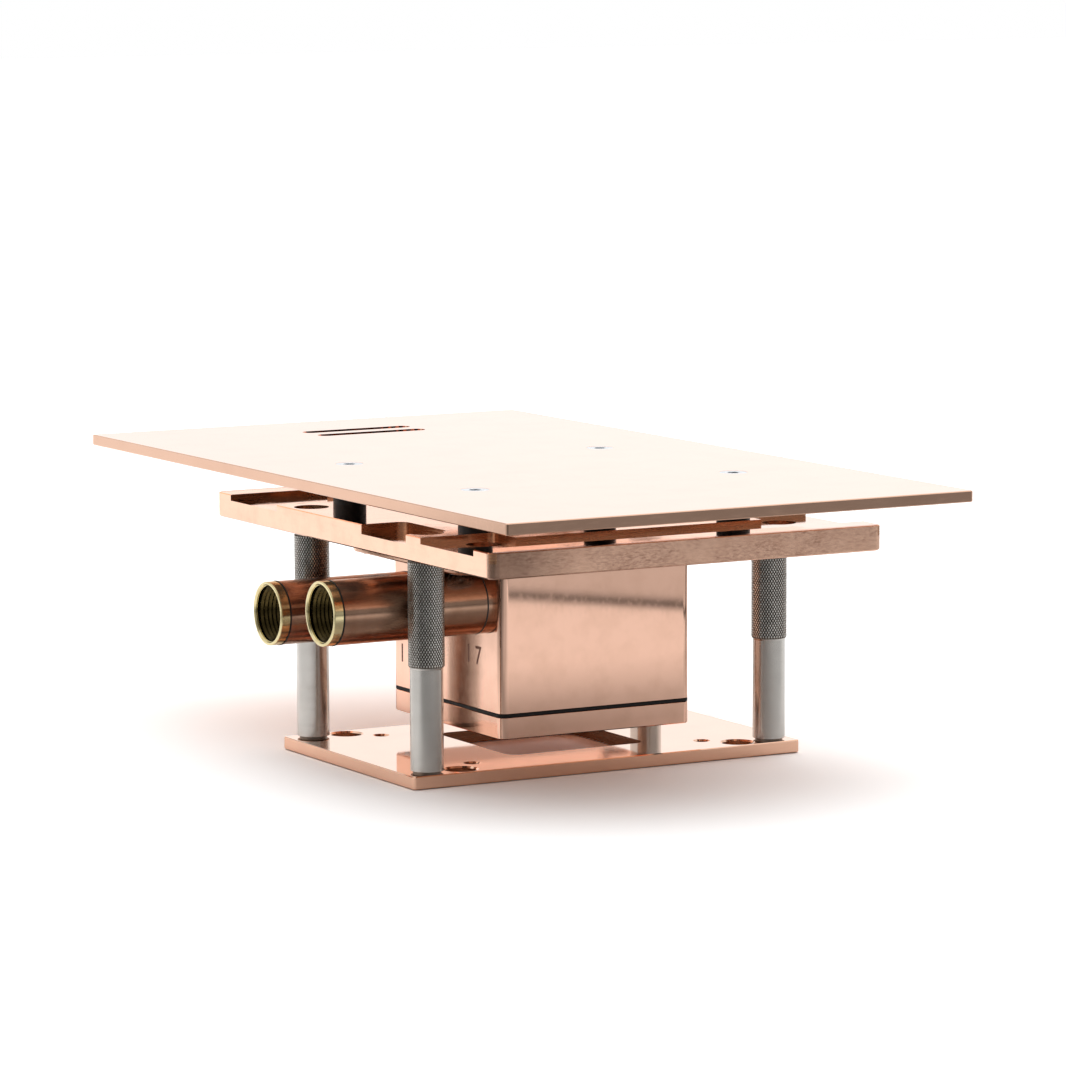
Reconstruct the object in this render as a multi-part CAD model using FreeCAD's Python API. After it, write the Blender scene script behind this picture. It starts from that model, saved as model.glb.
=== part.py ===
import FreeCAD, Part
import os

os.makedirs("parts", exist_ok=True)

# Liquid cooling cold plate on a four-pillar test stand. All sizes in millimetres.
# Origin: centre of the base plate's underside. +Z up, the two tubes leave the block towards -X.

V = FreeCAD.Vector
UP = V(0, 0, 1)

# ---- base plate ------------------------------------------------------------------------------
BASE_X = 124.0
BASE_Y = 80.0
BASE_T = 3.6
BASE_EDGE_R = 1.0
EDGE_BREAK = 0.25         # chamfer that breaks the plates' sharp edges
BASE_WINDOW = 44.0        # square window under the cold plate
BASE_WINDOW_R = 4.0

# ---- pillars, inset from the base plate's edges ----------------------------------------------
PILLAR_INSET_X = 7.0
PILLAR_INSET_Y = 5.5
PILLAR_X = BASE_X / 2 - PILLAR_INSET_X
PILLAR_Y = BASE_Y / 2 - PILLAR_INSET_Y
PILLAR_H = 59.0
PILLAR_R = 4.6            # plain lower part
KNURL_R = 5.0             # knurled upper part
KNURL_LEN = 30.1
KNURL_CHAMFER = 0.6
PILLAR_TAP_R = 2.1        # M5 thread, core size
PILLAR_TAP_DEPTH = 12.0
M5_CLEAR_R = 2.75
M5_CSK_R = 5.2
M5_HEAD_R = 5.0           # counterbore for a cap screw head
M5_HEAD_DEPTH = 5.0

# ---- mounting holes of the base plate, inward from the pillars -------------------------------
HOLE_CHAMFER = 0.5
BIG_HOLE_R = 4.5
BIG_HOLE_X = PILLAR_X - 10.5
SMALL_HOLE_R = 2.0
SMALL_HOLE_X = PILLAR_X - 18.0
SMALL_HOLE_Y = PILLAR_Y - 7.2

# ---- screws of the upper plates --------------------------------------------------------------
M4_CLEAR_R = 2.25
M4_TAP_R = 1.65
M4_CSK_R = 4.1
M4_TAP_DEPTH = 5.0
M3_CLEAR_R = 1.7
M3_CSK_R = 3.0
M3_TAP_R = 1.25
M3_TAP_DEPTH = 8.0
TOP_SCREW_X = 41.25       # screws through top plate and spacers
TOP_SCREW_Y = 37.5
SPACER_R = 4.75
SPACER_H = 8.1

# ---- bracket plate ---------------------------------------------------------------------------
BRACKET_X = BASE_X - 1.0
BRACKET_Y = 167.0
BRACKET_T = 7.1
BRACKET_R = 2.6
BRACKET_CHAMFER = 0.4
CHANNEL_DEPTH = 1.75
CHANNEL_LAND = 1.35       # spacer edge to channel edge
CHANNEL_RIM = 9.9         # outer wall to the plate's long edge
CHANNEL_WAIST = 17.5      # width between the wide ends
CHANNEL_WIDE_END = 22.5   # length of each wide end
CHANNEL_IN_Y = TOP_SCREW_Y + SPACER_R + CHANNEL_LAND
CHANNEL_OUT_Y = BRACKET_Y / 2 - CHANNEL_RIM
CHANNEL_WAIST_Y = CHANNEL_OUT_Y - CHANNEL_WAIST
CHANNEL_JOG_X = BRACKET_X / 2 - CHANNEL_WIDE_END
CHANNEL_R = 2.0
CHANNEL_HOLE_X = BRACKET_X / 2 - 14.5
CHANNEL_HOLE_Y = CHANNEL_IN_Y + 9.0
CHANNEL_HOLE_R = 4.75
NOTCH_LENGTH = 13.5       # notch in the left edge
NOTCH_Y0 = -35.2
NOTCH_Y1 = -8.9
NOTCH_DEPTH = 2.7
NOTCH_R = 3.0
NOTCH_X = BRACKET_X / 2 - NOTCH_LENGTH

# ---- block, gasket and cold plate ------------------------------------------------------------
BLOCK_X = 61.0
BLOCK_Y = 64.4
BLOCK_R = 2.4
PLATE_Z = 10.0            # underside of the cold plate
PLATE_T = 6.2
GASKET_T = 0.75
GASKET_MARGIN = 1.0       # gasket opening outside the pocket on every side
WALL_X = 8.5              # block wall beside the pocket
WALL_Y = 7.2
POCKET_X = BLOCK_X - 2 * WALL_X
POCKET_Y = BLOCK_Y - 2 * WALL_Y
POCKET_DEPTH = 5.0
POCKET_R = 4.0
FIN_PITCH = 2.0
FIN_T = 1.0
FIN_COUNT = int((POCKET_X - 3.0) / FIN_PITCH)
FIN_LENGTH = POCKET_Y / 2 - 1.0
FIN_ROOF_GAP = 0.25       # fin tips to the roof of the pocket
PLATE_SCREW_X = BLOCK_X / 2 - 4.0
PLATE_SCREW_Y = BLOCK_Y / 2 - 3.9
HANGER_X = BLOCK_X / 2 - 3.7              # screws from the bracket plate down into the block
HANGER_Y = BLOCK_Y / 2 - 2.9

# ---- flange plate between the block and the bracket plate ------------------------------------
FLANGE_PILLAR_GAP = 5.7
FLANGE_X = 2 * (PILLAR_X - KNURL_R - FLANGE_PILLAR_GAP)
FLANGE_Y = BLOCK_Y + 3.6
FLANGE_T = 5.7
FLANGE_R = 6.0
FLANGE_CHAMFER = 0.4
FLANGE_WING_X = FLANGE_X / 2 - 5.8        # screws up into the bracket plate
FLANGE_WING_Y = FLANGE_Y / 2 - 8.0

# ---- heights ---------------------------------------------------------------------------------
PILLAR_Z = BASE_T
BRACKET_Z = BASE_T + PILLAR_H
BRACKET_TOP = BRACKET_Z + BRACKET_T
FLANGE_Z = BRACKET_Z - FLANGE_T
PLATE_TOP = PLATE_Z + PLATE_T
BLOCK_Z = PLATE_TOP + GASKET_T
BLOCK_H = FLANGE_Z - BLOCK_Z
TOP_Z = BRACKET_TOP + SPACER_H
FIN_H = GASKET_T + POCKET_DEPTH - FIN_ROOF_GAP

# ---- ports and tubes -------------------------------------------------------------------------
EASE = 0.05               # radial clearance of a spigot in its bore
TUBE_R = 9.0
TUBE_BORE_R = 8.0
PORT_PILLAR_GAP = 0.6     # tube to the pillar beside it
PORT_FLANGE_GAP = 0.5     # outlet tube to the flange plate above it
PORT_STEP = 5.0           # the inlet lies this much lower than the outlet
PORT_Y = PILLAR_Y - KNURL_R - TUBE_R - PORT_PILLAR_GAP
OUTLET_Z = FLANGE_Z - TUBE_R - PORT_FLANGE_GAP
INLET_Z = OUTLET_Z - PORT_STEP
OUTLET_REACH = 49.6       # free end from the block's face
INLET_REACH = 46.0
COLLAR_LEN = 1.9          # collar against the block
COLLAR_BORE_R = 7.0
SPIGOT_R = 8.45
SPIGOT_LEN = 6.0
JOINT_T = 0.4             # joint ring between collar and tube
JOINT_PROUD = 0.08
PASSAGE_X = 4.0           # upright passages from the ports down to the pocket
PASSAGE_R = 5.0
RING_LEN = 2.8            # brass ring on the tube's free end
RING_EASE_R = 0.5
THREAD_CORE_R = 7.46      # M16 x 1 female thread, core size
INSERT_LEN = 9.0          # threaded spigot inside the tube
INSERT_R = 8.45
ORING_T = 0.4
ORING_PROUD = 0.12

# ---- top plate -------------------------------------------------------------------------------
TOP_X0 = -71.0
TOP_X1 = 74.0
TOP_Y0 = -109.0
TOP_Y1 = 149.5
TOP_T = 3.2
TOP_R = 0.7
SLOT_X = 4.0              # two plain slots near the rear edge
SLOT_Y = (TOP_Y1 - 38.5, TOP_Y1 - 28.5)
SLOT_LEN = 36.0
SLOT_W = 5.0

QUADS = [(-1, -1), (1, -1), (-1, 1), (1, 1)]
CORNER = {(-1, -1): "front_left", (1, -1): "front_right", (-1, 1): "back_left", (1, 1): "back_right"}


# ---- helpers ---------------------------------------------------------------------------------
def box(x0, x1, y0, y1, z0, z1):
    """Box between two opposite corners."""
    return Part.makeBox(x1 - x0, y1 - y0, z1 - z0, V(x0, y0, z0))


def rod(x, y, z0, z1, r):
    """Upright cylinder."""
    return Part.makeCylinder(r, z1 - z0, V(x, y, z0), UP)


def rod_x(x0, x1, y, z, r):
    """Cylinder along X."""
    return Part.makeCylinder(r, x1 - x0, V(x0, y, z), V(1, 0, 0))


def csk(x, y, z_face, r, up):
    """90 degree countersink whose mouth of radius r lies in the face at z_face."""
    side = 1 if up else -1
    return Part.makeCone(r + 0.2, 0.2, r, V(x, y, z_face + side * 0.2), V(0, 0, -side))


def slab(x0, x1, y0, y1, z0, z1, r):
    """Box with rounded upright edges."""
    solid = box(x0, x1, y0, y1, z0, z1)
    upright = [e for e in solid.Edges if abs(e.tangentAt(e.FirstParameter).z) > 0.9]
    return solid.makeFillet(r, upright)


def edges_at(solid, z, tol=0.01):
    """Edges lying wholly at the height z."""
    found = []
    for edge in solid.Edges:
        bb = edge.BoundBox
        if abs(bb.ZMin - z) < tol and abs(bb.ZMax - z) < tol:
            found.append(edge)
    return found


def ring_edges(solid, x, r, tol=0.02):
    """Circular edges round the X direction at the given station and radius."""
    found = []
    for edge in solid.Edges:
        curve = edge.Curve
        if isinstance(curve, Part.Circle) and abs(curve.Radius - r) < tol:
            if abs(curve.Center.x - x) < tol:
                found.append(edge)
    return found


def save(name, shape):
    """Write one closed piece as a STEP file."""
    shape = shape.removeSplitter()
    if shape.ShapeType != "Solid":
        shape = shape.Solids[0]
    shape.exportStep("parts/" + name + ".step")


# ---- base plate ------------------------------------------------------------------------------
base = box(-BASE_X / 2, BASE_X / 2, -BASE_Y / 2, BASE_Y / 2, 0, BASE_T)
upright = [e for e in base.Edges if abs(e.tangentAt(e.FirstParameter).z) > 0.9]
base = base.makeFillet(BASE_EDGE_R, upright)
base = base.makeChamfer(EDGE_BREAK, edges_at(base, 0) + edges_at(base, BASE_T))
w = BASE_WINDOW / 2
base = base.cut(slab(-w, w, -w, w, -1, BASE_T + 1, BASE_WINDOW_R))
for sx, sy in QUADS:
    base = base.cut(rod(sx * BIG_HOLE_X, sy * PILLAR_Y, -1, BASE_T + 1, BIG_HOLE_R))
    base = base.cut(csk(sx * BIG_HOLE_X, sy * PILLAR_Y, BASE_T, BIG_HOLE_R + HOLE_CHAMFER, True))
    base = base.cut(rod(sx * SMALL_HOLE_X, sy * SMALL_HOLE_Y, -1, BASE_T + 1, SMALL_HOLE_R))
    base = base.cut(csk(sx * SMALL_HOLE_X, sy * SMALL_HOLE_Y, BASE_T, SMALL_HOLE_R + HOLE_CHAMFER, True))
    base = base.cut(rod(sx * PILLAR_X, sy * PILLAR_Y, -1, BASE_T + 1, M5_CLEAR_R))
    base = base.cut(csk(sx * PILLAR_X, sy * PILLAR_Y, 0, M5_CSK_R, False))
save("base_plate", base)


# ---- pillars, each turned in one piece -------------------------------------------------------
def pillar(x, y):
    z0 = PILLAR_Z
    z1 = z0 + PILLAR_H
    zk = z1 - KNURL_LEN
    c = KNURL_CHAMFER
    profile = [
        V(0, 0, z0),
        V(PILLAR_R - 0.3, 0, z0),
        V(PILLAR_R, 0, z0 + 0.3),
        V(PILLAR_R, 0, zk),
        V(KNURL_R - c / 2, 0, zk),
        V(KNURL_R, 0, zk + c),
        V(KNURL_R, 0, z1 - c),
        V(KNURL_R - c, 0, z1),
        V(0, 0, z1),
        V(0, 0, z0),
    ]
    body = Part.Face(Part.makePolygon(profile)).revolve(V(0, 0, 0), UP, 360)
    body = body.cut(rod(0, 0, z0 - 1, z0 + PILLAR_TAP_DEPTH, PILLAR_TAP_R))
    body = body.cut(rod(0, 0, z1 - PILLAR_TAP_DEPTH, z1 + 1, PILLAR_TAP_R))
    body.translate(V(x, y, 0))
    return body


for sx, sy in QUADS:
    save("pillar_" + CORNER[(sx, sy)], pillar(sx * PILLAR_X, sy * PILLAR_Y))


# ---- bracket plate with its two milled channels ----------------------------------------------
def channel(side):
    """Channel open at both ends of the plate, wide there and narrow at the waist."""
    zc = BRACKET_TOP - CHANNEL_DEPTH
    x_open = BRACKET_X / 2 + 5
    j = CHANNEL_JOG_X
    points = [
        (-x_open, CHANNEL_IN_Y),
        (-j, CHANNEL_IN_Y),
        (-j, CHANNEL_WAIST_Y),
        (j, CHANNEL_WAIST_Y),
        (j, CHANNEL_IN_Y),
        (x_open, CHANNEL_IN_Y),
        (x_open, CHANNEL_OUT_Y),
        (-x_open, CHANNEL_OUT_Y),
        (-x_open, CHANNEL_IN_Y),
    ]
    wire = Part.makePolygon([V(px, side * py, zc) for px, py in points])
    tool = Part.Face(wire).extrude(V(0, 0, CHANNEL_DEPTH + 2))
    cutter_corners = []
    for edge in tool.Edges:
        start = edge.Vertexes[0].Point
        upright_edge = abs(edge.tangentAt(edge.FirstParameter).z) > 0.9
        if upright_edge and abs(start.x) < x_open - 1 and abs(abs(start.y) - CHANNEL_IN_Y) < 0.01:
            cutter_corners.append(edge)
    return tool.makeFillet(CHANNEL_R, cutter_corners)


def notch():
    """Shallow pocket cut in from the left edge."""
    x_open = -BRACKET_X / 2 - 5
    tool = box(x_open, -NOTCH_X, NOTCH_Y0, NOTCH_Y1, BRACKET_TOP - NOTCH_DEPTH, BRACKET_TOP + 2)
    inner = []
    for edge in tool.Edges:
        upright_edge = abs(edge.tangentAt(edge.FirstParameter).z) > 0.9
        if upright_edge and edge.Vertexes[0].Point.x > x_open + 1:
            inner.append(edge)
    return tool.makeFillet(NOTCH_R, inner)


hx = BRACKET_X / 2
hy = BRACKET_Y / 2
bracket = slab(-hx, hx, -hy, hy, BRACKET_Z, BRACKET_TOP, BRACKET_R)
bracket = bracket.makeChamfer(BRACKET_CHAMFER, edges_at(bracket, BRACKET_Z))
bracket = bracket.makeChamfer(EDGE_BREAK, edges_at(bracket, BRACKET_TOP))
bracket = bracket.cut(channel(-1))
bracket = bracket.cut(channel(1))
bracket = bracket.cut(notch())
for sx, sy in QUADS:
    px = sx * PILLAR_X
    py = sy * PILLAR_Y
    bracket = bracket.cut(rod(px, py, BRACKET_Z - 1, BRACKET_TOP + 1, M5_CLEAR_R))
    bracket = bracket.cut(rod(px, py, BRACKET_TOP - M5_HEAD_DEPTH, BRACKET_TOP + 1, M5_HEAD_R))
    cx = sx * CHANNEL_HOLE_X
    cy = sy * CHANNEL_HOLE_Y
    bracket = bracket.cut(rod(cx, cy, BRACKET_Z - 1, BRACKET_TOP, CHANNEL_HOLE_R))
    tx = sx * TOP_SCREW_X
    ty = sy * TOP_SCREW_Y
    bracket = bracket.cut(rod(tx, ty, BRACKET_Z - 1, BRACKET_TOP + 1, M4_TAP_R))
    wx = sx * FLANGE_WING_X
    wy = sy * FLANGE_WING_Y
    bracket = bracket.cut(rod(wx, wy, BRACKET_Z - 1, BRACKET_Z + M4_TAP_DEPTH, M4_TAP_R))
    gx = sx * HANGER_X
    gy = sy * HANGER_Y
    bracket = bracket.cut(rod(gx, gy, BRACKET_Z - 1, BRACKET_TOP + 1, M4_CLEAR_R))
    bracket = bracket.cut(csk(gx, gy, BRACKET_TOP, M4_CSK_R, True))
save("bracket_plate", bracket)


# ---- flange plate ----------------------------------------------------------------------------
hx = FLANGE_X / 2
hy = FLANGE_Y / 2
flange = slab(-hx, hx, -hy, hy, FLANGE_Z, BRACKET_Z, FLANGE_R)
flange = flange.makeChamfer(FLANGE_CHAMFER, edges_at(flange, FLANGE_Z))
for sx, sy in QUADS:
    wx = sx * FLANGE_WING_X
    wy = sy * FLANGE_WING_Y
    flange = flange.cut(rod(wx, wy, FLANGE_Z - 1, BRACKET_Z + 1, M4_CLEAR_R))
    flange = flange.cut(csk(wx, wy, FLANGE_Z, M4_CSK_R, False))
    gx = sx * HANGER_X
    gy = sy * HANGER_Y
    flange = flange.cut(rod(gx, gy, FLANGE_Z - 1, BRACKET_Z + 1, M4_CLEAR_R))
save("flange_plate", flange)


# ---- block with ports, passages and pocket ---------------------------------------------------
bx = BLOCK_X / 2
by = BLOCK_Y / 2
block = slab(-bx, bx, -by, by, BLOCK_Z, FLANGE_Z, BLOCK_R)
block = block.makeChamfer(EDGE_BREAK, edges_at(block, BLOCK_Z))
px = POCKET_X / 2
py = POCKET_Y / 2
block = block.cut(slab(-px, px, -py, py, BLOCK_Z - 1, BLOCK_Z + POCKET_DEPTH, POCKET_R))
for port_y, port_z in ((-PORT_Y, OUTLET_Z), (PORT_Y, INLET_Z)):
    block = block.cut(rod_x(-bx - 1, -bx + SPIGOT_LEN + 0.2, port_y, port_z, SPIGOT_R + EASE))
    block = block.cut(rod_x(-bx, PASSAGE_X + PASSAGE_R, port_y, port_z, COLLAR_BORE_R))
    block = block.cut(rod(PASSAGE_X, port_y, BLOCK_Z + 1, port_z, PASSAGE_R))
for sx, sy in QUADS:
    cx = sx * PLATE_SCREW_X
    cy = sy * PLATE_SCREW_Y
    block = block.cut(rod(cx, cy, BLOCK_Z - 1, BLOCK_Z + M3_TAP_DEPTH, M3_TAP_R))
    gx = sx * HANGER_X
    gy = sy * HANGER_Y
    block = block.cut(rod(gx, gy, FLANGE_Z - M4_TAP_DEPTH, FLANGE_Z + 1, M4_TAP_R))
save("block_body", block)


# ---- gasket ----------------------------------------------------------------------------------
gx = px + GASKET_MARGIN
gy = py + GASKET_MARGIN
gasket = slab(-bx, bx, -by, by, PLATE_TOP, BLOCK_Z, BLOCK_R)
gasket = gasket.cut(slab(-gx, gx, -gy, gy, PLATE_TOP - 1, BLOCK_Z + 1, POCKET_R))
for sx, sy in QUADS:
    cx = sx * PLATE_SCREW_X
    cy = sy * PLATE_SCREW_Y
    gasket = gasket.cut(rod(cx, cy, PLATE_TOP - 1, BLOCK_Z + 1, M3_CLEAR_R))
save("gasket", gasket)


# ---- cold plate with its fins ----------------------------------------------------------------
cold = slab(-bx, bx, -by, by, PLATE_Z, PLATE_TOP, BLOCK_R)
cold = cold.makeChamfer(EDGE_BREAK, edges_at(cold, PLATE_Z) + edges_at(cold, PLATE_TOP))
for sx, sy in QUADS:
    cx = sx * PLATE_SCREW_X
    cy = sy * PLATE_SCREW_Y
    cold = cold.cut(rod(cx, cy, PLATE_Z - 1, PLATE_TOP + 1, M3_CLEAR_R))
    cold = cold.cut(csk(cx, cy, PLATE_Z, M3_CSK_R, False))
fins = []
for i in range(FIN_COUNT):
    fin_x = (i - (FIN_COUNT - 1) / 2) * FIN_PITCH
    x0 = fin_x - FIN_T / 2
    x1 = fin_x + FIN_T / 2
    fins.append(box(x0, x1, -FIN_LENGTH / 2, FIN_LENGTH / 2, PLATE_TOP - 0.5, PLATE_TOP + FIN_H))
cold = cold.fuse(fins)
save("cold_plate", cold)


# ---- tubes with collars, joint rings, threaded ends and O-rings ------------------------------
def port_line(name, y, z, reach):
    """One tube and the turned pieces on its axis, from the block's face to the free end."""
    face = -bx
    collar_x = face - COLLAR_LEN
    tube_x1 = collar_x - JOINT_T
    end_x = face - reach
    ring_x = end_x + RING_LEN
    tube_x0 = ring_x + ORING_T

    # collar: a flange with a spigot into the block and another into the tube
    inner_x = tube_x1 - SPIGOT_LEN
    collar = rod_x(collar_x, face, y, z, TUBE_R)
    collar = collar.fuse(rod_x(face - 0.1, face + SPIGOT_LEN, y, z, SPIGOT_R))
    collar = collar.fuse(rod_x(inner_x, collar_x + 0.1, y, z, TUBE_BORE_R - EASE))
    collar = collar.cut(rod_x(inner_x - 1, face + SPIGOT_LEN + 1, y, z, COLLAR_BORE_R))
    save(name + "_collar", collar)

    joint = rod_x(tube_x1, collar_x, y, z, TUBE_R + JOINT_PROUD)
    joint = joint.cut(rod_x(tube_x1 - 1, collar_x + 1, y, z, TUBE_BORE_R))
    save(name + "_joint_ring", joint)

    tube = rod_x(tube_x0, tube_x1, y, z, TUBE_R)
    tube = tube.cut(rod_x(tube_x0 - 1, tube_x1 + 1, y, z, TUBE_BORE_R))
    tube = tube.cut(rod_x(tube_x0 - 1, ring_x + INSERT_LEN + 0.2, y, z, INSERT_R + EASE))
    save(name + "_tube", tube)

    oring = rod_x(ring_x, tube_x0, y, z, TUBE_R + ORING_PROUD)
    oring = oring.cut(rod_x(ring_x - 1, tube_x0 + 1, y, z, INSERT_R + EASE))
    save(name + "_o_ring", oring)

    end = rod_x(end_x, ring_x, y, z, TUBE_R)
    end = end.makeFillet(RING_EASE_R, ring_edges(end, end_x, TUBE_R))
    end = end.fuse(rod_x(ring_x - 0.1, ring_x + INSERT_LEN, y, z, INSERT_R))
    end = end.cut(rod_x(end_x - 1, ring_x + INSERT_LEN + 1, y, z, THREAD_CORE_R))
    mouth = Part.makeCone(THREAD_CORE_R + 0.6, THREAD_CORE_R, 0.6, V(end_x, y, z), V(1, 0, 0))
    end = end.cut(mouth)
    save(name + "_threaded_end", end)


port_line("outlet", -PORT_Y, OUTLET_Z, OUTLET_REACH)
port_line("inlet", PORT_Y, INLET_Z, INLET_REACH)


# ---- top plate and its spacers ---------------------------------------------------------------
top = slab(TOP_X0, TOP_X1, TOP_Y0, TOP_Y1, TOP_Z, TOP_Z + TOP_T, TOP_R)
top = top.makeChamfer(EDGE_BREAK, edges_at(top, TOP_Z) + edges_at(top, TOP_Z + TOP_T))
for sx, sy in QUADS:
    tx = sx * TOP_SCREW_X
    ty = sy * TOP_SCREW_Y
    top = top.cut(rod(tx, ty, TOP_Z - 1, TOP_Z + TOP_T + 1, M4_CLEAR_R))
    top = top.cut(csk(tx, ty, TOP_Z + TOP_T, M4_CSK_R, True))
for slot_y in SLOT_Y:
    x0 = SLOT_X - SLOT_LEN / 2
    x1 = SLOT_X + SLOT_LEN / 2
    y0 = slot_y - SLOT_W / 2
    y1 = slot_y + SLOT_W / 2
    top = top.cut(slab(x0, x1, y0, y1, TOP_Z - 1, TOP_Z + TOP_T + 1, SLOT_W / 2 - 0.01))
save("top_plate", top)

for sx, sy in QUADS:
    tx = sx * TOP_SCREW_X
    ty = sy * TOP_SCREW_Y
    spacer = rod(tx, ty, BRACKET_TOP, TOP_Z, SPACER_R)
    spacer = spacer.cut(rod(tx, ty, BRACKET_TOP - 1, TOP_Z + 1, M4_CLEAR_R))
    save("spacer_" + CORNER[(sx, sy)], spacer)
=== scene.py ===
import math

import bmesh
import bpy
from mathutils import Matrix, Vector


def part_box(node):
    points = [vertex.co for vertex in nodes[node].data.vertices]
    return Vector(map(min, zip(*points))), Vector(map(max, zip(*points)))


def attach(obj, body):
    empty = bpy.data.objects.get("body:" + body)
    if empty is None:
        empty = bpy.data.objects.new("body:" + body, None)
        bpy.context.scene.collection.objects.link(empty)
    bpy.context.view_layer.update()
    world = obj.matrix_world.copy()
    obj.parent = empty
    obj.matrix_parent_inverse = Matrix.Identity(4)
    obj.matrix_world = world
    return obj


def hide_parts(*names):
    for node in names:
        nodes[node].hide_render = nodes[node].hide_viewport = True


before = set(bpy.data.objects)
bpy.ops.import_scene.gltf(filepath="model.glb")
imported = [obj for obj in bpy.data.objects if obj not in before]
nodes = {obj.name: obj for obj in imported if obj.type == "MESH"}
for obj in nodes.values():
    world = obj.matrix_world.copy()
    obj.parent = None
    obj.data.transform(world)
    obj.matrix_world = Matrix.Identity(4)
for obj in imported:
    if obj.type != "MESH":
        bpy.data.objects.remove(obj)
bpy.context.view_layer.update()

# Liquid cooling cold plate: copper block with two tubes, hung from a bracket plate on four
# knurled pillars over a windowed base plate, with a wide top plate on black spacers.
# Blender works in metres; the sizes written here are millimetres, and MM turns them.

MM = 0.001
SIDES = ("outlet", "inlet")
CORNERS = ("front_left", "front_right", "back_left", "back_right")
QUADRANTS = ((-1, -1), (1, -1), (-1, 1), (1, 1))


def box_mm(name):
    """Lowest and highest corners of a CAD piece, in millimetres."""
    low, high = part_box(name)
    return Vector(low) / MM, Vector(high) / MM


def middle_mm(name):
    """Centre of a CAD piece's box, in millimetres."""
    low, high = box_mm(name)
    return (low + high) / 2


# ---------------------------------------------------------------------------------- editing ---
def start_fresh():
    """Leaves edit mode and deselects everything."""
    if bpy.context.object and bpy.context.object.mode != "OBJECT":
        bpy.ops.object.mode_set(mode="OBJECT")
    bpy.ops.object.select_all(action="DESELECT")


def pick(piece):
    """Makes one piece the selected and active one."""
    start_fresh()
    piece.select_set(True)
    bpy.context.view_layer.objects.active = piece


def choose(test, kind="verts"):
    """In edit mode, selects the vertices, edges or faces that pass the test."""
    mode = {"verts": "VERT", "edges": "EDGE", "faces": "FACE"}[kind]
    bpy.ops.mesh.select_mode(type=mode)
    bpy.ops.mesh.select_all(action="DESELECT")
    shape = bmesh.from_edit_mesh(bpy.context.object.data)
    for part in getattr(shape, kind):
        part.select_set(bool(test(part)))
    shape.select_flush_mode()
    bmesh.update_edit_mesh(bpy.context.object.data)


def lift(rise, factor):
    """Extrudes the selected ring up by a rise in mm and scales it about the upright axis."""
    bpy.ops.mesh.extrude_region_move(TRANSFORM_OT_translate={"value": (0, 0, rise * MM)})
    if factor != 1:
        bpy.ops.transform.resize(value=(factor, factor, 1), center_override=(0, 0, 0))


def turned(profile, segments, solid=True):
    """Turns a piece about the upright axis from (height, radius) steps in mm.

    A solid one is capped at both ends; otherwise the profile closes on itself round a bore."""
    start_fresh()
    height, radius = profile[0]
    bpy.ops.mesh.primitive_circle_add(vertices=segments, radius=radius * MM, location=(0, 0, 0),
                                      fill_type="NGON" if solid else "NOTHING")
    piece = bpy.context.object
    bpy.ops.object.mode_set(mode="EDIT")
    bpy.ops.mesh.select_mode(type="VERT")
    bpy.ops.mesh.select_all(action="SELECT")
    bpy.ops.transform.translate(value=(0, 0, height * MM))
    for next_height, next_radius in profile[1:] + ([] if solid else profile[:1]):
        lift(next_height - height, next_radius / radius)
        height, radius = next_height, next_radius
    bpy.ops.mesh.select_all(action="SELECT")
    bpy.ops.mesh.remove_doubles(threshold=0.002 * MM)
    bpy.ops.mesh.normals_make_consistent(inside=False)
    bpy.ops.object.mode_set(mode="OBJECT")
    return piece


def finish_piece(piece, name, material, smooth=30):
    """Puts a piece's place in its mesh, names and shades it, and hangs it on the body."""
    pick(piece)
    bpy.ops.object.transform_apply(location=True, rotation=True, scale=True)
    bpy.ops.object.shade_smooth_by_angle(angle=math.radians(smooth))
    piece.name = name
    piece.data.name = name
    piece.data.materials.clear()
    piece.data.materials.append(material)
    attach(piece, "root")


def copy_to(piece, offset, turn):
    """A copy with its own mesh, turned and then moved by mm, with its place in the mesh."""
    pick(piece)
    bpy.ops.object.duplicate(linked=False)
    twin = bpy.context.object
    twin.data.transform(turn)
    twin.data.transform(Matrix.Translation(Vector(offset) * MM))
    return twin


# -------------------------------------------------------------------------------- materials ---
def linear(code):
    """Linear colour of an sRGB hex value."""
    parts = [int(code[i:i + 2], 16) / 255 for i in (1, 3, 5)]
    curve = [c / 12.92 if c <= 0.04045 else ((c + 0.055) / 1.055) ** 2.4 for c in parts]
    return (*curve, 1.0)


def add(tree, kind, links=(), **settings):
    """Adds a shader node. links are values, sockets or nodes for its inputs in use, in order or
    by name, and a node stands for its first output in use; settings are its own properties."""
    made = tree.nodes.new("ShaderNode" + kind)
    for key, value in settings.items():
        setattr(made, key, value)
    in_use = [socket for socket in made.inputs if socket.enabled]
    for key, value in links.items() if isinstance(links, dict) else enumerate(links):
        socket = made.inputs[key] if isinstance(key, str) else in_use[key]
        if isinstance(value, bpy.types.Node):
            value = next(output for output in value.outputs if output.enabled)
        if isinstance(value, bpy.types.NodeSocket):
            tree.links.new(value, socket)
        else:
            socket.default_value = value
    return made


def new_material(name):
    """An empty material and its node tree."""
    material = bpy.data.materials.new(name)
    material.use_nodes = True
    material.node_tree.nodes.clear()
    return material, material.node_tree


def mottle(tree, size, stretch=(1, 1, 1), detail=3.0, rough=0.55):
    """Mottling with spots of a size in mm, drawn out along the axes whose stretch is over 1."""
    place = add(tree, "TexCoord").outputs["Object"]
    scale = [1 / (MM * size * s) for s in stretch]
    spot = add(tree, "Mapping", {"Vector": place, "Scale": scale})
    return add(tree, "TexNoise", {"Vector": spot, "Scale": 1.0, "Detail": detail,
                                  "Roughness": rough})


CORNER_TINT = "#3d2018"
CORNER_FADES = (-136, -118)  # from full to none, in mm along X and Y together


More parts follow.
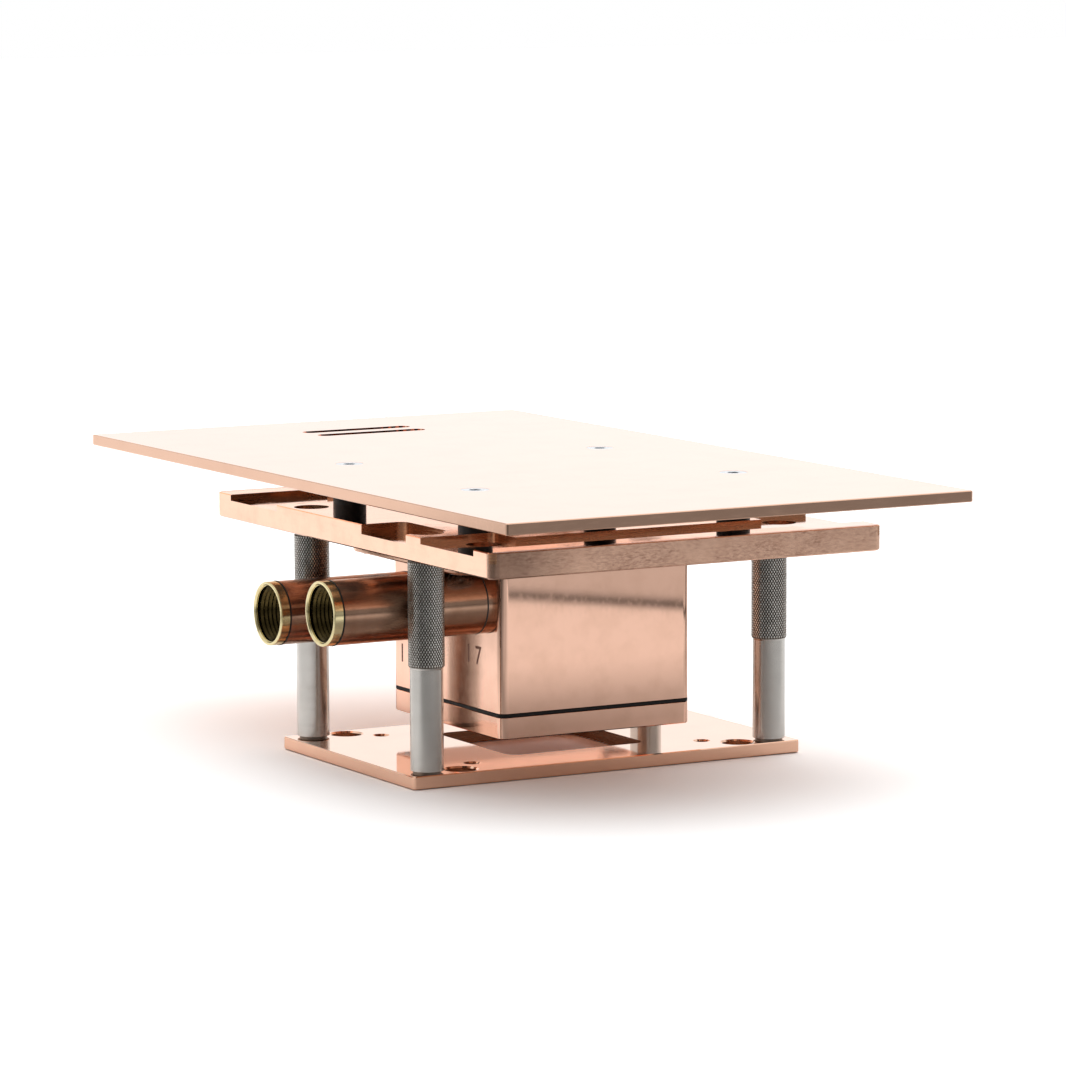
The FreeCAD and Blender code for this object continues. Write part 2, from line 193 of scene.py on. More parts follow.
def stained_ends(tree, tint, gloss, stain):
    """Fire-stain on a bar's sawn ends. stain is its tint, its size in mm and how far along Y in
    mm the ends begin: dark spots in clouds, darker towards the front left corner, a softer gloss."""
    colour, size, past_y = stain
    spots = mottle(tree, size, (3, 1, 1), detail=5.0, rough=0.7)
    spots = add(tree, "MapRange", (spots, 0.4, 0.72, 0.0, 1.0))
    clouds = add(tree, "MapRange", (mottle(tree, size * 9, (2, 1, 1)), 0.38, 0.66, 0.25, 1.0))
    place = add(tree, "TexCoord").outputs["Object"]
    along = add(tree, "SeparateXYZ", (place,)).outputs["Y"]
    out_at = add(tree, "Math", (along,), operation="ABSOLUTE")
    on_end = add(tree, "MapRange", (out_at, past_y * MM, (past_y + 0.1) * MM, 0.0, 0.75))
    share = add(tree, "Math", (spots, clouds), operation="MULTIPLY")
    share = add(tree, "Math", (share, on_end), operation="MULTIPLY")
    tint = add(tree, "Mix", (share, tint, linear(colour)), data_type="RGBA")
    from_corner = add(tree, "VectorMath", (place, (1, 1, 0)), operation="DOT_PRODUCT")
    full, none = CORNER_FADES
    to_corner = add(tree, "MapRange", (from_corner, full * MM, none * MM, 0.7, 0.0))
    to_corner = add(tree, "Math", (to_corner, on_end), operation="MULTIPLY")
    tint = add(tree, "Mix", (to_corner, tint, linear(CORNER_TINT)), data_type="RGBA")
    near_end = add(tree, "MapRange", (out_at, (past_y - 1.4) * MM, (past_y + 0.4) * MM, 0.0, 1.0))
    return tint, add(tree, "Mix", (near_end, gloss, 0.24))


def shaded_cut_walls(tree, tint, gloss, pocket):
    """Upright walls left as the cutter made them, streaked and duller than the faces, and given a
    darker
    tint that is painted shade. pocket is (x, y, z, tint): they lie inside x and y and above z, in
    mm."""
    x, y, z, colour = pocket
    place = add(tree, "TexCoord").outputs["Object"]
    away = add(tree, "SeparateXYZ", (add(tree, "VectorMath", (place,), operation="ABSOLUTE"),))
    normal = add(tree, "NewGeometry").outputs["Normal"]
    facing = add(tree, "SeparateXYZ", (add(tree, "VectorMath", (normal,), operation="ABSOLUTE"),))
    inside = add(tree, "MapRange", (away.outputs["X"], (x - 0.2) * MM, (x - 0.1) * MM, 1.0, 0.0))
    for test in ((away.outputs["Y"], (y - 0.2) * MM, (y - 0.1) * MM, 1.0, 0.0),
                 (away.outputs["Z"], z * MM, (z + 0.01) * MM, 0.0, 1.0),
                 (facing.outputs["Z"], 0.4, 0.6, 1.0, 0.0)):
        inside = add(tree, "Math", (inside, add(tree, "MapRange", test)), operation="MULTIPLY")
    streak = add(tree, "MapRange", (mottle(tree, 0.7, (14, 14, 1)), 0.35, 0.7, 0.16, 0.36))
    tint = add(tree, "Mix", (inside, tint, linear(colour)), data_type="RGBA")
    return tint, add(tree, "Mix", (inside, gloss, streak))


def metal(name, colour, tarnish, rough, haze, line=(1, 1, 1), ring=None, patch_mm=9.0,
          patch_share=0.3, rubbed=None, stain=None, pocket=None):
    """A bare metal.

    colour drifts towards tarnish in patches; rough and haze are the roughness of its clear and
    its hazy spots, which line draws out along an axis. ring is the size and depth in mm of tool
    marks along that line. rubbed is (axis, turn, pull) for marks too fine to see, which soften
    reflections one way only: round the axis, or with a turn of 0.25 along it. stain and pocket
    are for stained_ends and shaded_cut_walls."""
    material, tree = new_material(name)
    patches = add(tree, "MapRange", (mottle(tree, patch_mm), 0.42, 0.72, 0.0, patch_share))
    tint = add(tree, "Mix", (patches, linear(colour), linear(tarnish)), data_type="RGBA")
    gloss = add(tree, "MapRange", (mottle(tree, 1.1, line, detail=2.0), 0.48, 0.7, rough, haze))
    if stain:
        tint, gloss = stained_ends(tree, tint, gloss, stain)
    # Pocket walls: rougher as cut, and a darker tint that is painted shade.
    if pocket:
        tint, gloss = shaded_cut_walls(tree, tint, gloss, pocket)
    links = {"Base Color": tint, "Metallic": 1.0, "Roughness": gloss}
    if ring:
        size, depth = ring
        links["Normal"] = add(tree, "Bump", {"Height": mottle(tree, size, line), "Strength": 1.0,
                                             "Distance": depth * MM})
    if rubbed:
        axis, turn, pull = rubbed
        links["Tangent"] = add(tree, "Tangent", direction_type="RADIAL", axis=axis)
        links["Anisotropic"] = pull
        links["Anisotropic Rotation"] = turn
    add(tree, "OutputMaterial", {"Surface": add(tree, "BsdfPrincipled", links)})
    return material


# Copper sheet, rolled and lapped to a mirror: neighbours show in it sharply. Its inner walls get
# painted shade.
sheet_copper = metal("lapped_copper_sheet", "#f5c8ad", "#dcac90", 0.05, 0.09, line=(6, 1, 1),
                     patch_mm=14, patch_share=0.2, pocket=(61.8, 39.8, 0.05, "#dcae8e"))
# Copper bar, milled and flat-ground: bright, with brown and purple fire-stain on its sawn ends.
# Its pocket walls get painted shade.
bar_copper = metal("ground_copper_bar", "#f7caaf", "#daa88d", 0.05, 0.11, line=(6, 6, 1),
                   patch_mm=6, patch_share=0.35, stain=("#7d4b42", 0.6, 81.6),
                   pocket=(61.5, 83.5, 66.8, "#bd8c6c"))
# Copper flange, milled all over and left so: pale and soft, its neighbours only blurs in it.
milled_copper = metal("milled_copper_flange", "#f7caaf", "#daa88d", 0.32, 0.38, line=(6, 6, 1),
                      patch_mm=6, patch_share=0.35)
# Copper block, lapped and then rubbed upright: clear up and down, soft from side to side.
block_copper = metal("rubbed_copper_block", "#ebbea7", "#cfa48b", 0.065, 0.085, line=(1, 1, 2),
                     patch_mm=6, patch_share=0.3, rubbed=("Z", 0.0, 0.8))
# Port numbers: cut in the copper and filled with lacquer, dull dark brown.
lacquered_mark = metal("lacquered_mark", "#6b4636", "#4a2e22", 0.38, 0.5, patch_mm=0.8,
                       patch_share=0.6)
# Drawn copper tube, rubbed on a lathe: soft along its length, brown where it was handled.
tube_copper = metal("rubbed_copper_tube", "#b38e77", "#8f6a52", 0.22, 0.26, line=(1, 3, 3),
                    patch_mm=7, patch_share=0.5, rubbed=("X", 0.25, 0.85))
# Brass bar, turned: fine rings round it, pale yellow.
turned_brass = metal("turned_brass", "#e8d9a8", "#b79c5e", 0.18, 0.3, line=(1, 400, 400),
                     ring=(0.5, 0.0008), patch_mm=4, patch_share=0.35, rubbed=("X", 0.25, 0.6))
# The same brass deep inside the thread, made darker: painted shade.
thread_shade_brass = metal("brass_thread_painted_shade", "#4e4226", "#2b220d", 0.22, 0.38, patch_mm=2,
                    patch_share=0.6)
# Stainless steel bar, turned and left satin: soft up and down, dull grey.
satin_steel = metal("satin_turned_steel", "#c5c2bd", "#afaba5", 0.22, 0.28, line=(400, 400, 2),
                    patch_mm=6, patch_share=0.3, rubbed=("Z", 0.25, 0.7))
# The same steel in the knurl's grooves and the foot's undercut: painted shade, with a little dirt
# in the grooves.
groove_shade_steel = metal("steel_grooves_painted_shade", "#7a736b", "#5b544d", 0.35, 0.5, patch_mm=4,
                      patch_share=0.5)
# Tops of the knurl's diamonds: a lighter copy of the steel, a painted highlight.
knurl_tops_highlight = metal("steel_tops_painted_highlight", "#d8d4ce", "#b6b1aa", 0.25, 0.4, patch_mm=4,
                   patch_share=0.5)
# Zinc plated screws: smooth bluish white.
zinc_screw = metal("zinc_plated_screw", "#dadfe4", "#b9bdc1", 0.22, 0.36, patch_mm=2,
                   patch_share=0.4)


def soft_black(name, colour, rough, grain_mm):
    """A black moulded plastic or rubber with fine grain, 0.01 mm deep."""
    material, tree = new_material(name)
    grain = mottle(tree, grain_mm)
    worn = add(tree, "MapRange", (grain, 0.3, 0.7, 0.0, 0.5))
    tint = add(tree, "Mix", (worn, linear(colour), linear("#1b1a19")), data_type="RGBA")
    bump = add(tree, "Bump", {"Height": grain, "Strength": 1.0, "Distance": 0.01 * MM})
    shader = add(tree, "BsdfPrincipled", {"Base Color": tint, "Roughness": rough,
                                          "Specular IOR Level": 0.35, "Normal": bump})
    add(tree, "OutputMaterial", {"Surface": shader})
    return material


# Black acetal spacers, turned: even black with a soft sheen.
black_acetal = soft_black("black_acetal", "#100e0d", 0.4, 0.4)
# Nitrile rubber gasket and O-rings: dull black.
black_nitrile = soft_black("black_nitrile_rubber", "#0d0c0c", 0.6, 0.3)
# Graphite-filled seal: dull dark grey.
grey_seal = soft_black("graphite_seal", "#4a4846", 0.5, 0.3)

finish_of = {
    "base_plate": sheet_copper,
    "top_plate": sheet_copper,
    "bracket_plate": bar_copper,
    "flange_plate": milled_copper,
    "block_body": block_copper,
    "cold_plate": block_copper,
    "gasket": black_nitrile,
}
for side in SIDES:
    finish_of[side + "_tube"] = tube_copper
    finish_of[side + "_collar"] = tube_copper
    finish_of[side + "_joint_ring"] = grey_seal
    finish_of[side + "_o_ring"] = black_nitrile
    finish_of[side + "_threaded_end"] = turned_brass
for corner in CORNERS:
    finish_of["pillar_" + corner] = satin_steel
    finish_of["spacer_" + corner] = black_acetal
for name, material in finish_of.items():
    nodes[name].data.materials.clear()
    nodes[name].data.materials.append(material)

# ---------------------------------------------------------------------------------- pillars ---
# Turned pillar with a diamond knurl on its upper half: diamonds 0.8 mm wide and 1.3 mm high, a
# touch coarser than the real wheel so that they show, rolled in and left with small flat tops.
KNURL_COLUMNS = 40
KNURL_ROW = 1.33
KNURL_DEPTH = 0.24
KNURL_INSET = 0.13          # from a diamond's foot to its flat top
KNURL_AREA = 0.4            # a diamond's area in square mm is within half of this
KNURL_LEAD = 0.35           # from the plain part's end to the first diamonds
KNURL_TAIL = 0.12           # from the last diamonds to the chamfer at the head
PLAIN_TOP = 32.5            # the knurl starts here, above the base plate's underside
PLAIN_UNDER = 0.4           # the plain part is this much thinner all round
FOOT_HIGH = 0.55            # undercut at the foot, in painted shade
FOOT_DEEP = 0.7
PILLAR_TURN = 0.7           # each pillar is screwed in to another angle
KNURL_ROOM = 0.4            # the rows of diamonds leave about this much at either end
SLACK = 0.05                # to tell heights apart
low, high = box_mm("pillar_front_left")
foot, head = low.z, high.z
knurl_r = (high.x - low.x) / 2
plain_r = knurl_r - PLAIN_UNDER
groove_r = knurl_r - KNURL_DEPTH
rows = int((head - PLAIN_TOP - 2 * KNURL_ROOM) / KNURL_ROW)
knurl_low = PLAIN_TOP + KNURL_LEAD
profile = [(foot, plain_r - FOOT_DEEP), (foot + FOOT_HIGH - 0.1, plain_r - FOOT_DEEP),
           (foot + FOOT_HIGH, plain_r - 0.1), (foot + FOOT_HIGH + 0.1, plain_r),
           (PLAIN_TOP - 0.15, plain_r), (PLAIN_TOP - 0.05, plain_r + 0.02),
           (PLAIN_TOP + 0.1, groove_r - 0.05)]
profile += [(knurl_low + KNURL_ROW * step, groove_r) for step in range(rows + 1)]
knurl_high = knurl_low + rows * KNURL_ROW
profile += [(knurl_high + KNURL_TAIL, knurl_r - 0.05), (head - KNURL_TAIL, knurl_r - 0.05),
            (head, knurl_r - 0.05 - KNURL_TAIL)]
pillar = turned(profile, KNURL_COLUMNS)
pick(pillar)
bpy.ops.object.mode_set(mode="EDIT")


def in_knurl(point):
    """Whether a point lies between the knurl's ends."""
    return knurl_low - SLACK < point.z / MM < knurl_high + SLACK


choose(lambda f: all(in_knurl(v.co) for v in f.verts) and abs(f.normal.z) < 0.5, "faces")
bpy.ops.mesh.poke()


def is_grid_edge(edge):
    """Whether an upright or level edge lies inside the knurl, not on its ends."""
    a, b = (v.co for v in edge.verts)
    if not (in_knurl(a) and in_knurl(b)):
        return False
    upright = (a.xy - b.xy).length < 0.01 * MM
    level = abs(a.z - b.z) < 0.01 * MM
    inside = knurl_low + SLACK < (a.z + b.z) / 2 / MM < knurl_high - SLACK
    return upright or (level and inside)


choose(is_grid_edge, "edges")
bpy.ops.mesh.dissolve_edges(use_verts=False)
choose(lambda f: len(f.verts) == 4 and abs(f.calc_area() / MM ** 2 - KNURL_AREA) < KNURL_AREA / 2
       and all(in_knurl(v.co) for v in f.verts) and abs(f.normal.z) < 0.5, "faces")
bpy.ops.mesh.inset(thickness=KNURL_INSET * MM, use_individual=True)
raised = knurl_r / groove_r
bpy.ops.transform.resize(value=(raised, raised, 1), center_override=(0, 0, 0))
start_fresh()
for number, corner in enumerate(CORNERS):
    place = middle_mm("pillar_" + corner)
    twin = copy_to(pillar, (place.x, place.y, 0), Matrix.Rotation(number * PILLAR_TURN, 4, "Z"))
    finish_piece(twin, "knurled_pillar_" + corner, satin_steel)
    twin.data.materials.append(groove_shade_steel)
    twin.data.materials.append(knurl_tops_highlight)
    # Knurl tops get the painted highlight; the grooves and the foot's undercut get the painted
    # shade.
    for face in twin.data.polygons:
        out_at = (face.center.xy / MM - place.xy).length
        if knurl_low < face.center.z / MM < knurl_high + SLACK:
            face.material_index = 2 if len(face.vertices) == 4 and out_at > knurl_r - 0.05 else 1
        elif face.center.z / MM < foot + FOOT_HIGH:
            face.material_index = 1
    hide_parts("pillar_" + corner)
bpy.data.objects.remove(pillar)

# ---------------------------------------------------------------------------- threaded ends ---
# Turned brass end: flat rim with eased corners, a small step inside it, then a female thread
# whose pitch is a little coarser than the real one, so that it shows. The axis lies along X and
# the mouth faces -X.
THREAD_PITCH = 1.25
THREAD_TURNS = 6
THREAD_DEPTH = 0.5
THREAD_FOOT = 0.03          # how far outside the bore's radius the thread starts
THREAD_FROM = 1.5           # from the mouth
RING_LONG = 2.8
RIM_STEP = 0.35             # how much wider the bore is at the mouth
EASE = 0.35                 # radius of the rim's outer corner
BORE_R = 7.9
BORE_STEP = 0.05            # where the thread is, the bore is this much wider
GROOVE_DEEP = 0.12          # fine groove just inside the mouth
SPIGOT_R = 8.45             # the part that goes into the tube's end
SHADE_FROM = 0.85             # from the mouth, inside; the painted shade starts here
for side in SIDES:
    low, high = box_mm(side + "_threaded_end")
    ring_r = (high.z - low.z) / 2
    long = high.x - low.x
    turns = [math.radians(a) for a in range(0, 91, 18)]
    eased = [(EASE - EASE * math.cos(a), ring_r - EASE + EASE * math.sin(a)) for a in turns]
    outside = [(0.0, ring_r - 0.4), *eased, (0.42, ring_r), (RING_LONG - 0.05, ring_r),
               (RING_LONG, ring_r - 0.05), (RING_LONG, SPIGOT_R), (long, SPIGOT_R)]
    bore = [(long, BORE_R + BORE_STEP), (THREAD_FROM, BORE_R + BORE_STEP),
            (THREAD_FROM - 0.1, BORE_R), (0.8, BORE_R), (0.75, BORE_R + GROOVE_DEEP),
            (0.55, BORE_R + GROOVE_DEEP), (0.45, BORE_R + 0.05),
            (0.06, BORE_R + RIM_STEP - 0.05), (0.0, BORE_R + RIM_STEP)]
    end = turned(outside + bore, 96, solid=False)
    # One V of the thread's outline, wound round the axis and closed at both ends.
    start_fresh()
    bpy.ops.mesh.primitive_plane_add(size=2, location=(0, 0, 0))
    thread = bpy.context.object
    bpy.ops.object.mode_set(mode="EDIT")
    bpy.ops.mesh.select_all(action="SELECT")
    bpy.ops.mesh.delete(type="ONLY_FACE")
    choose(lambda v: v.co.x > 0 and v.co.y > 0)
    bpy.ops.mesh.delete(type="VERT")
    choose(lambda v: v.co.x * v.co.y < 0)
    bpy.ops.mesh.edge_face_add()
    bpy.ops.object.mode_set(mode="OBJECT")
    outline = {(-1, 1): (BORE_R + THREAD_FOOT, 0.02), (-1, -1): (BORE_R - THREAD_DEPTH, 0.5),
               (1, -1): (BORE_R + THREAD_FOOT, 0.98)}
    for vertex in thread.data.vertices:
        radius, along = outline[(round(vertex.co.x), round(vertex.co.y))]
        vertex.co = (radius * MM, 0, (THREAD_FROM + THREAD_PITCH * along) * MM)
    wind = thread.modifiers.new("wind", "SCREW")
    wind.axis = "Z"
    wind.angle = math.tau
    wind.screw_offset = THREAD_PITCH * MM
    wind.iterations = THREAD_TURNS
    wind.steps = wind.render_steps = 72
    wind.use_merge_vertices = False
    pick(thread)
    bpy.ops.object.modifier_apply(modifier="wind")
    bpy.ops.object.mode_set(mode="EDIT")
    bpy.ops.mesh.select_all(action="SELECT")
    bpy.ops.mesh.remove_doubles(threshold=0.001 * MM)
    bpy.ops.mesh.fill_holes(sides=3)
    bpy.ops.mesh.select_all(action="SELECT")
    bpy.ops.mesh.normals_make_consistent(inside=False)
    bpy.ops.object.mode_set(mode="OBJECT")
    end.select_set(True)
    bpy.context.view_layer.objects.active = end
    bpy.ops.object.join()
    place = middle_mm(side + "_threaded_end")
    end.data.transform(Matrix.Rotation(math.radians(90), 4, "Y"))
    end.data.transform(Matrix.Translation(Vector((low.x, place.y, place.z)) * MM))
    finish_piece(end, side + "_threaded_brass_end", turned_brass, smooth=40)
    end.data.materials.append(thread_shade_brass)
    # Faces deep in the bore take the painted shade.
    for face in end.data.polygons:
        deep = face.center.x / MM - low.x > SHADE_FROM
        inside = (face.center.yz / MM - place.yz).length < BORE_R + 0.04
        face.material_index = 1 if deep and inside else 0
    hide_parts(side + "_threaded_end")

# ---------------------------------------------------------------------------- port numbers ---
# Plain numbers in the block's left face below its two tubes: dark lacquer inlays.
NUMBER_HIGH = 5.2
NUMBER_PER_SIZE = 0.7       # a figure's height as a share of the lettering's size
NUMBER_DEEP = 0.3
NUMBER_PROUD = 0.015
NUMBER_STROKE = 0.06        # how much its strokes are thickened
NUMBER_GAP = 1.5            # spacing of its figures
NUMBER_BELOW = 6.6          # from the collar's underside
NUMBER_ASIDE = 3.6          # towards the back
left_face = box_mm("block_body")[0].x
facing_left = Matrix(((0, 0, -1, 0), (-1, 0, 0, 0), (0, 1, 0, 0), (0, 0, 0, 1)))
for side, number in (("outlet", "17"), ("inlet", "12")):
    port = middle_mm(side + "_collar")
    port_low = box_mm(side + "_collar")[0].z
    start_fresh()
    bpy.ops.object.text_add(location=(0, 0, 0))
    mark = bpy.context.object
    mark.data.body = number
    mark.data.align_x = "CENTER"
    mark.data.align_y = "CENTER"
    mark.data.size = NUMBER_HIGH / NUMBER_PER_SIZE * MM
    mark.data.offset = NUMBER_STROKE * MM
    mark.data.space_character = NUMBER_GAP
    mark.data.extrude = NUMBER_DEEP * MM
    mark.data.resolution_u = 4
    pick(mark)
    bpy.ops.object.convert(target="MESH")
    mark = bpy.context.object
    mark.data.transform(facing_left)
    sunk_to = left_face + NUMBER_DEEP - NUMBER_PROUD
    place = Vector((sunk_to, port.y + NUMBER_ASIDE, port_low - NUMBER_BELOW))
    mark.data.transform(Matrix.Translation(place * MM))
    finish_piece(mark, side + "_number", lacquered_mark)


# ----------------------------------------------------------------------------------- screws ---
# Hex socket screws: countersunk in the plates, low heads in the bracket's counterbores.
HEAD_EASE = 0.12
POINT_LONG = 0.4            # chamfer at the screw's tip
SOCKET_SINK = 0.06          # chamfer round the key's hexagon
SOCKET_DEEP = 0.55          # of the key's width
SOCKET_RING = 1.12          # ring of the face round the hexagon, against its corners' radius
SCREW_TURN = 0.9            # each screw ends its turn at another angle


def socket_screw(head, shank, long, key, side=0.15, under=1.0):
    """A hex socket screw along the upright axis, its head's top at zero, from the radii of its
    head and shank, its length and its key's width in mm. side is how far its rim runs straight
    down, and under how far its underside tapers for each mm it narrows, 0 for a flat one."""
    hexagon = key / 2 / math.cos(math.radians(30))
    neck = -side - (head - shank) * under
    profile = [(-long, shank * 0.8), (-long + POINT_LONG, shank), (neck, shank), (-side, head),
               (-HEAD_EASE, head), (0.0, head - HEAD_EASE), (0.0, hexagon * SOCKET_RING)]
    screw = turned(profile, 32)
    pick(screw)
    bpy.ops.object.mode_set(mode="EDIT")
    choose(lambda f: all(abs(v.co.z) < 0.001 * MM for v in f.verts) and f.normal.z > 0.9
           and all(v.co.xy.length < hexagon * (SOCKET_RING + 0.08) * MM for v in f.verts), "faces")
    bpy.ops.mesh.delete(type="ONLY_FACE")
    bpy.ops.mesh.select_all(action="DESELECT")
    bpy.ops.mesh.primitive_circle_add(vertices=6, radius=hexagon * MM,
                                      location=(0, 0, -SOCKET_SINK * MM))
    choose(lambda e: e.is_boundary or e.is_wire, "edges")
    bpy.ops.mesh.bridge_edge_loops()
    choose(lambda e: e.is_boundary, "edges")
    lift(-key * SOCKET_DEEP, 1)
    bpy.ops.mesh.edge_face_add()
    bpy.ops.mesh.select_all(action="SELECT")
    bpy.ops.mesh.normals_make_consistent(inside=False)
    bpy.ops.object.mode_set(mode="OBJECT")
    return screw


def in_four_corners(screw, name, at, height, turn=Matrix()):
    """Four copies of a screw, one in each corner, each turned a little differently."""
    for number, (across, along) in enumerate(QUADRANTS):
        spin = Matrix.Rotation(0.4 + number * SCREW_TURN, 4, "Z")
        twin = copy_to(screw, (at[0] * across, at[1] * along, height), turn @ spin)
        finish_piece(twin, f"{name}_{number + 1}", zinc_screw)
    bpy.data.objects.remove(screw)


# Places from the middle, and how far the heads lie in or stand out.
HANGER_AT = (26.8, 29.3)
SLAB_SCREW_AT = (26.5, 28.3)
WING_SCREW_AT = (38.5, 26.0)
TOP_SUNK = 0.03
BASE_SUNK = 0.25
SLAB_SUNK = 0.1
WING_PROUD = 0.45
LOW_HEAD_DOWN = 1.5         # the low heads' tops, in the bracket's counterbores
spacer = middle_mm("spacer_back_right")
pillar_at = middle_mm("pillar_back_right")
top_high = box_mm("top_plate")[1].z
bracket_high = box_mm("bracket_plate")[1].z
base_low = box_mm("base_plate")[0].z
slab_low = box_mm("cold_plate")[0].z
wing_low = box_mm("flange_plate")[0].z
upside_down = Matrix.Rotation(math.pi, 4, "X")
in_four_corners(socket_screw(4.05, 2.0, 11.0, 3.0), "top_plate_screw", spacer,
                top_high - TOP_SUNK)
in_four_corners(socket_screw(4.05, 2.0, 13.0, 2.5), "hanger_screw", HANGER_AT,
                bracket_high - TOP_SUNK)
in_four_corners(socket_screw(4.6, 2.05, 12.0, 3.0), "base_screw", pillar_at,
                base_low + BASE_SUNK, upside_down)
in_four_corners(socket_screw(2.8, 1.2, 10.0, 2.0), "slab_screw", SLAB_SCREW_AT,
                slab_low + SLAB_SUNK, upside_down)
in_four_corners(socket_screw(4.4, 1.6, 9.0, 2.5, side=0.5), "wing_screw", WING_SCREW_AT,
                wing_low - WING_PROUD, upside_down)
in_four_corners(socket_screw(4.25, 2.45, 15.5, 3.0, side=3.5, under=0.0), "pillar_screw",
                pillar_at, bracket_high - LOW_HEAD_DOWN)

# ------------------------------------------------------------------------------------ stage ---
# White table. The camera sees it white all over. In the metal it shows painted reflections, the
# tones
# below: it ends at a dark gap in front of the object, and past that a dim room shows.
bpy.ops.mesh.primitive_plane_add(size=12, location=(0, 0, -0.2 * MM))
floor = bpy.context.object
floor.name = "floor"
material, tree = new_material("white_table")
spot = add(tree, "TexCoord").outputs["Object"]


def tone(way, low, high, start, end):
    """Tone of the table from start to end, between two distances in mm along a way over it."""
    along = add(tree, "VectorMath", (spot, (*way, 0)), operation="DOT_PRODUCT")
    return add(tree, "MapRange", (along, low * MM, high * MM, start, end))


RIGHT = (1, 0)
BACK = (0, 1)
FRONT_RIGHT = (0.8, -0.6)
SLANT = (0.95, 0.3)
GAP_AT = 331                # where the table ends in the metal, towards the front right
edge = tone(FRONT_RIGHT, GAP_AT - 12, GAP_AT - 2, 1.0, 0.05)
dim_room = tone(FRONT_RIGHT, GAP_AT + 8, GAP_AT + 20, 0.0, 0.62)
# A dull strip runs along the left; towards the back it is bright, but for the far left corner.
strip = add(tree, "Math", (tone(RIGHT, -360, -160, 0.2, 1.0), tone(RIGHT, -520, -420, 0.6, 0.0)),
            operation="MAXIMUM")
corner = add(tree, "Math", (tone(RIGHT, -400, -330, 0.0, 1.0), tone(BACK, 420, 560, 0.47, 0.76)),
             operation="MAXIMUM")
bright = add(tree, "Math", (tone(BACK, 50, 300, 0.0, 1.22), corner), operation="MULTIPLY")
# The front left is painted duller, and a painted shadow band crosses the front.
front_left = add(tree, "Math", (tone(BACK, -100, -60, 0.0, 1.0), tone(SLANT, -160, -30, 0.6, 1.0)),
                 operation="MAXIMUM")
shadow_band = add(tree, "Math", (tone(BACK, -210, -140, 0.0, 0.35), tone(BACK, -100, -60, 1.0, 0.0)),
           operation="MULTIPLY")
# Close to the object's left side the table's shadow is lightened: painted light.
painted_light_beside = add(tree, "Math", (tone(RIGHT, -66, -60, 0.45, 0.0), tone(RIGHT, -160, -90, 0.0, 1.0)),
             operation="MULTIPLY")
painted_light_beside = add(tree, "Math", (painted_light_beside, tone(BACK, -60, -30, 0.0, 1.0)), operation="MULTIPLY")
in_metal = add(tree, "Math", (edge, dim_room), operation="ADD")
for share in (tone(BACK, -640, -450, 0.34, 1.0),
              add(tree, "Math", (bright, strip), operation="MAXIMUM"),
              front_left,
              add(tree, "Math", (1.0, shadow_band), operation="SUBTRACT"),
              add(tree, "Math", (1.0, painted_light_beside), operation="ADD")):
    in_metal = add(tree, "Math", (in_metal, share), operation="MULTIPLY")
# To the camera it is white, and painted brighter in the base plate's window, where less light
# falls: painted light.
from_middle = add(tree, "VectorMath", (spot,), operation="LENGTH")
to_camera = add(tree, "MapRange", (from_middle, 26 * MM, 32 * MM, 2.7, 1.4))
by_camera = add(tree, "LightPath").outputs["Is Camera Ray"]
white = add(tree, "BsdfDiffuse", {"Color": add(tree, "Mix", (by_camera, in_metal, to_camera))})
add(tree, "OutputMaterial", {"Surface": white})
floor.data.materials.append(material)

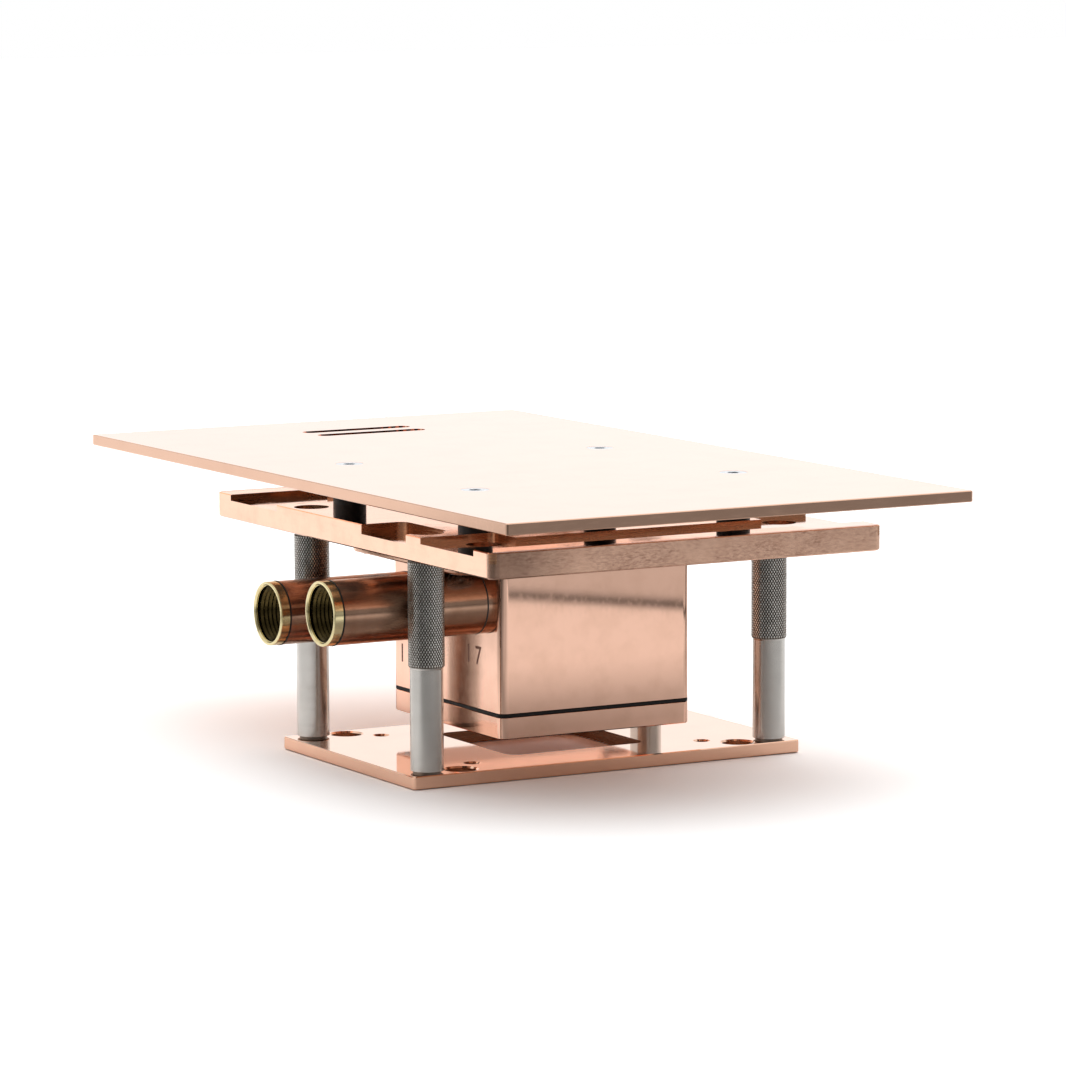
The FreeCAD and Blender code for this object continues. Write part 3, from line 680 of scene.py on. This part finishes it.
# Room: a wide soft light overhead, a white backdrop behind that dims upwards, a dull front.
OVERHEAD = 1.75
OVERHEAD_IN_METAL = 1.0     # held back, or the top plate would burn out
BACKDROP = 1.14
BACKDROP_HIGH = 0.35        # its share high up
FRONT = 0.4
ALL_ROUND = 0.25
world = bpy.context.scene.world or bpy.data.worlds.new("studio")
bpy.context.scene.world = world
world.use_nodes = True
tree = world.node_tree
tree.nodes.clear()
way = add(tree, "TexCoord").outputs["Generated"]
axes = add(tree, "SeparateXYZ", (way,)).outputs
upward = add(tree, "VectorMath", (way, (0.22, 0.3, 0.93)), operation="DOT_PRODUCT")
overhead = add(tree, "MapRange", (upward, 0.45, 0.8, 0.0, OVERHEAD))
overhead_in_metal = add(tree, "MapRange", (upward, 0.45, 0.8, 0.0, OVERHEAD_IN_METAL))
behind = add(tree, "MapRange", (axes["Y"], -0.6, 0.15, FRONT, BACKDROP))
horizon = add(tree, "MapRange", (axes["Z"], 0.3, 0.6, 1.0, BACKDROP_HIGH))
aside = add(tree, "MapRange", (axes["X"], 0.4, 0.58, 0.99, 1.04))
backdrop = add(tree, "Math", (behind, horizon), operation="MULTIPLY")
backdrop = add(tree, "Math", (backdrop, aside), operation="MULTIPLY")
for_metal = add(tree, "Math", (overhead_in_metal, backdrop), operation="MAXIMUM")
for_rest = add(tree, "Math", (overhead, ALL_ROUND), operation="MAXIMUM")
ray = add(tree, "LightPath").outputs
glow = add(tree, "Mix", (ray["Is Glossy Ray"], for_rest, for_metal))
room = add(tree, "Background", ((1, 1, 1, 1), glow))
seen = add(tree, "Background", ((1, 1, 1, 1), 1.0))
add(tree, "OutputWorld", {"Surface": add(tree, "MixShader", (ray["Is Camera Ray"], room, seen))})

# ----------------------------------------------------------------------------------- camera ---
CAMERA_AT = (-0.7000, -1.2487, 0.2405)      # metres
AZIMUTH = math.radians(-29.196)
ELEVATION = math.radians(7.091)
ROLL = math.radians(-0.212)
SENSOR_WIDE = 36.0
LENS_PER_WIDTH = 5087.3 / 1066.0            # focal length over the frame's width
camera_data = bpy.data.cameras.new("camera")
camera = bpy.data.objects.new("camera", camera_data)
bpy.context.scene.collection.objects.link(camera)
bpy.context.scene.camera = camera
camera_data.sensor_width = SENSOR_WIDE
camera_data.lens = SENSOR_WIDE * LENS_PER_WIDTH
camera_data.clip_start = 0.1
camera_data.clip_end = 50.0
aim = Matrix.Rotation(AZIMUTH, 4, "Z") @ Matrix.Rotation(math.pi / 2 - ELEVATION, 4, "X")
camera.matrix_world = Matrix.Translation(CAMERA_AT) @ aim @ Matrix.Rotation(ROLL, 4, "Z")

bpy.context.scene.view_settings.view_transform = "Standard"
